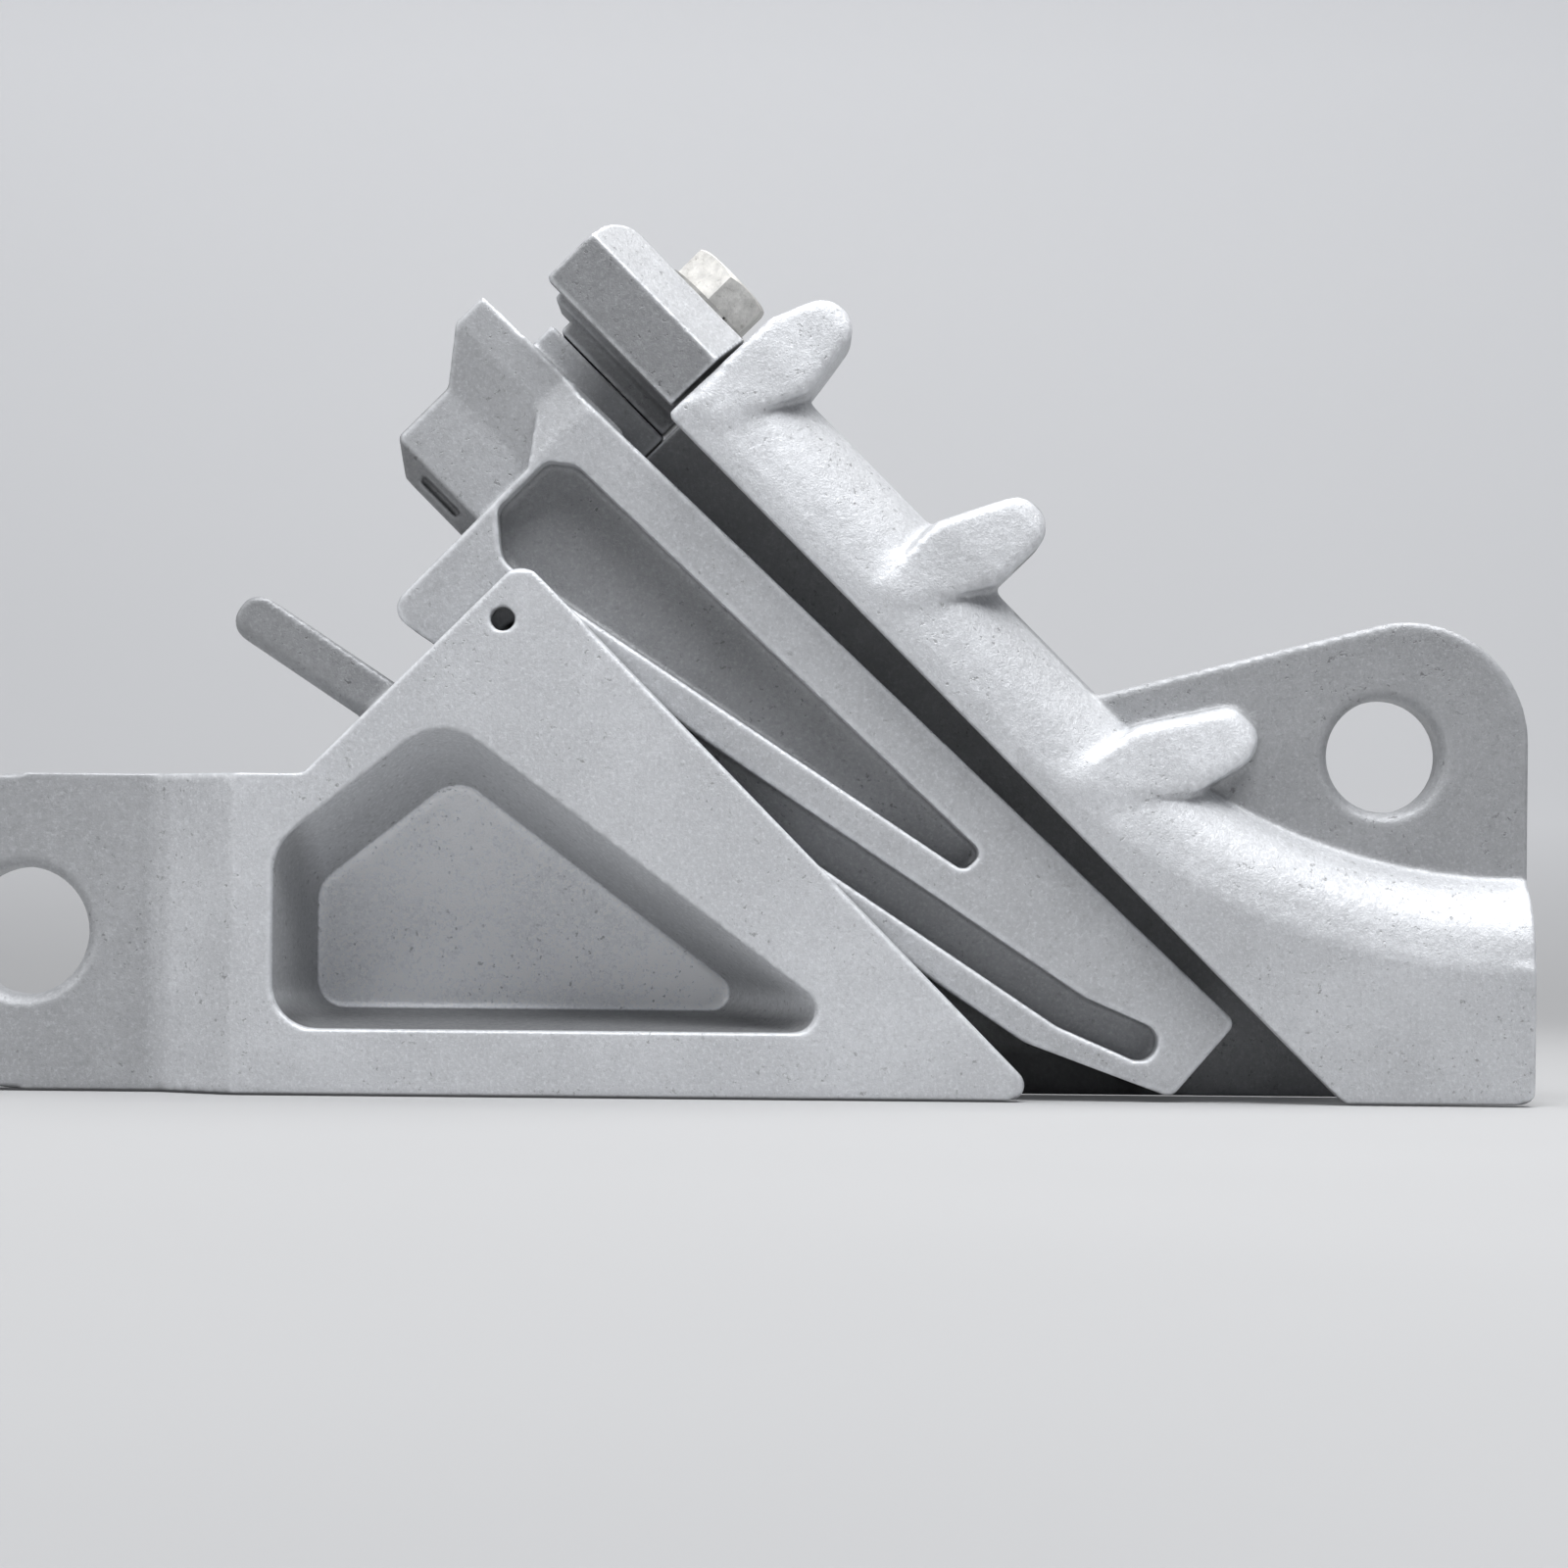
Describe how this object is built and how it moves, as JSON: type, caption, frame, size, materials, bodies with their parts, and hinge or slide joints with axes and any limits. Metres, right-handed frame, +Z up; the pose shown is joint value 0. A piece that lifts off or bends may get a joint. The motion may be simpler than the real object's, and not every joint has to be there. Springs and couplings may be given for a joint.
{
  "type": "wedge strain clamp",
  "caption": "Cast clamp that anchors an overhead conductor: a wedge slides down a ramp under an arched channel to grip it, and a bolted keeper holds it on the wedge's head.",
  "frame": {"origin": "centre of the anchor eye's bore, on the middle plane of the body", "axes": "+X along the base from the anchor eye to the channel outlet, +Z up from the base, +Y through the bore to the closed back"},
  "size_m": [0.3364, 0.0549, 0.1757],
  "materials": {
    "cast_aluminium": "matte as-cast, lightly blasted",
    "cast_aluminium_wedge": "matte as-cast",
    "cast_aluminium_keeper": "matte as-cast",
    "zinc_washer": "hot-dip zinc",
    "zinc_bolt": "hot-dip zinc"
  },
  "bodies": {
    "body": {"body": "cast_aluminium"},
    "wedge": {"wedge": "cast_aluminium_wedge"},
    "keeper": {"keeper": "cast_aluminium_keeper", "spring_washer": "zinc_washer"},
    "clamp_bolt": {"clamp_bolt": "zinc_bolt"}
  },
  "joints": [
    {"name": "wedge_slide", "type": "slide", "parent": "body", "child": "wedge", "axis": [-0.8339, 0, 0.5519], "range_m": [0, 0.05]},
    {"name": "keeper_lift", "type": "slide", "parent": "wedge", "child": "keeper", "axis": [0.7071, 0, 0.7071], "range_m": [0, 0.01]},
    {"name": "bolt_turn", "type": "hinge", "parent": "keeper", "child": "clamp_bolt", "pos_m": [0.10953, 0.0238, 0.10458], "axis": [0.7071, 0, 0.7071], "range_deg": [0, 2060]}
  ],
  "couplings": [
    {"joint": "bolt_turn", "follows": "keeper_lift", "rad_per_m": 3590.4}
  ]
}
